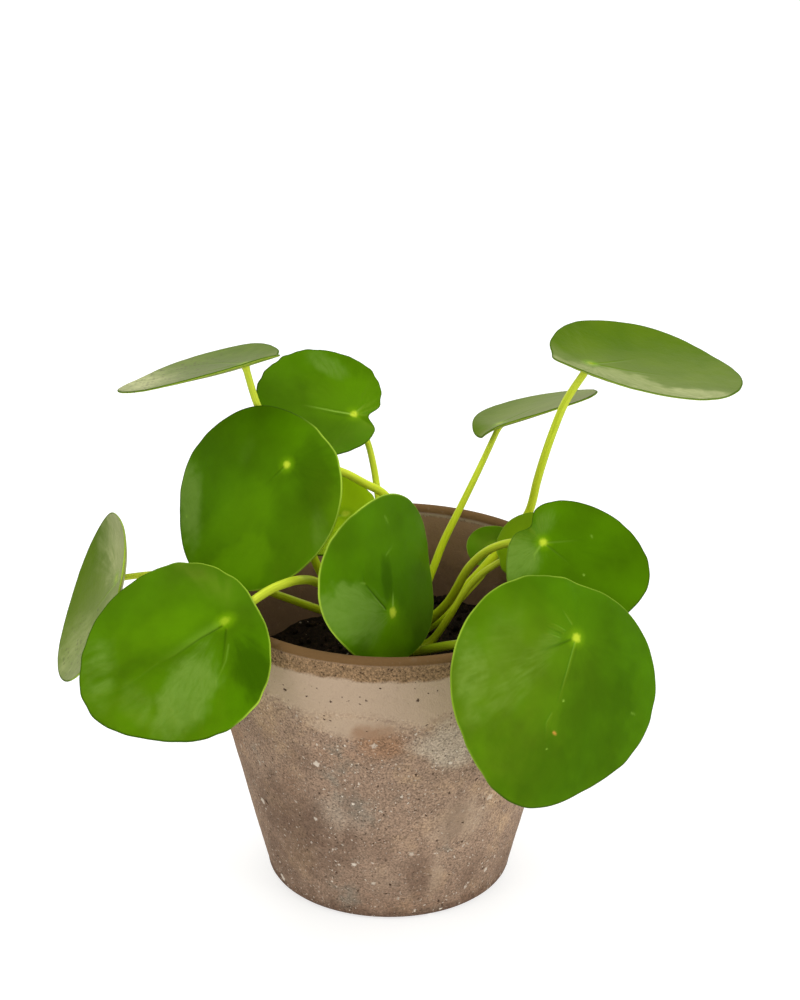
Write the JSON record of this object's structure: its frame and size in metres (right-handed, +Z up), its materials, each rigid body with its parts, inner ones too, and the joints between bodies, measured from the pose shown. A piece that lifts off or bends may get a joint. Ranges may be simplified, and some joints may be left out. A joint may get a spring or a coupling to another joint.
{
  "type": "potted chinese money plant",
  "caption": "Small house plant with round glossy leaves on long arching stalks from a short stem, standing in soil in a tapered clay-coloured pot with a deep collar.",
  "frame": {"origin": "middle of the underside of the pot's foot, on the surface that it stands on", "axes": "+Z up, -Y towards the front of the plant, +X to its right seen from the front"},
  "size_m": [0.2713, 0.1824, 0.223],
  "materials": {
    "clay": "dry, weathered, unglazed clay with lime specks and stains",
    "soil": "dark crumbly potting soil",
    "bark": "green-brown young bark with leaf scars",
    "leaf": "waxy, smooth, glossy leaf",
    "stalk": "smooth yellow-green leaf stalk"
  },
  "bodies": {
    "root": {"pot": "clay", "soil": "soil", "stem": "bark", "leaf_01": "leaf", "stalk_01": "stalk", "leaf_02": "leaf", "stalk_02": "stalk", "leaf_03": "leaf", "stalk_03": "stalk", "leaf_04": "leaf", "stalk_04": "stalk", "leaf_05": "leaf", "stalk_05": "stalk", "leaf_06": "leaf", "stalk_06": "stalk", "leaf_07": "leaf", "stalk_07": "stalk", "leaf_08": "leaf", "stalk_08": "stalk", "leaf_09": "leaf", "stalk_09": "stalk", "leaf_10": "leaf", "stalk_10": "stalk", "leaf_11": "leaf", "stalk_11": "stalk", "leaf_12": "leaf", "stalk_12": "stalk", "leaf_13": "leaf", "stalk_13": "stalk"}
  },
  "joints": []
}
